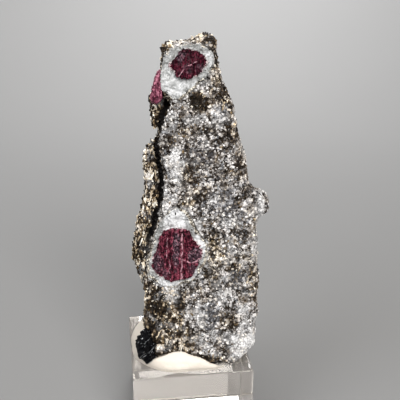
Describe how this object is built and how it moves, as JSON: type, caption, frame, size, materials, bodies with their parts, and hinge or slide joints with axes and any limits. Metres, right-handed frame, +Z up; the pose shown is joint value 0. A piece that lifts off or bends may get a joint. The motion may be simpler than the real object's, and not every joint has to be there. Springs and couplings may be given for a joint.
{
  "type": "corundum in mica schist on a display block",
  "caption": "Tall tapering piece of mica schist with dark red corundum crystals in white feldspar, held upright by putty on a clear block.",
  "frame": {"origin": "middle of the display block's underside", "axes": "+Z up, -Y towards the face that shows the two large crystals, +X to the right as that face is seen"},
  "size_m": [0.0351, 0.03, 0.1],
  "materials": {
    "mica_schist": "rough, granular, with glinting mica",
    "feldspar": "sugary, white",
    "corundum": "vitreous, dark red",
    "biotite": "glossy, black, in thin sheets",
    "putty": "smooth, matt, off-white",
    "clear_acrylic": "clear, polished"
  },
  "bodies": {
    "root": {"mica_schist": "mica_schist", "feldspar_rim_upper": "feldspar", "feldspar_rim_lower": "feldspar", "corundum_upper": "corundum", "corundum_lower": "corundum", "corundum_side": "corundum", "biotite_book": "biotite", "putty": "putty", "acrylic_block": "clear_acrylic"}
  },
  "joints": []
}
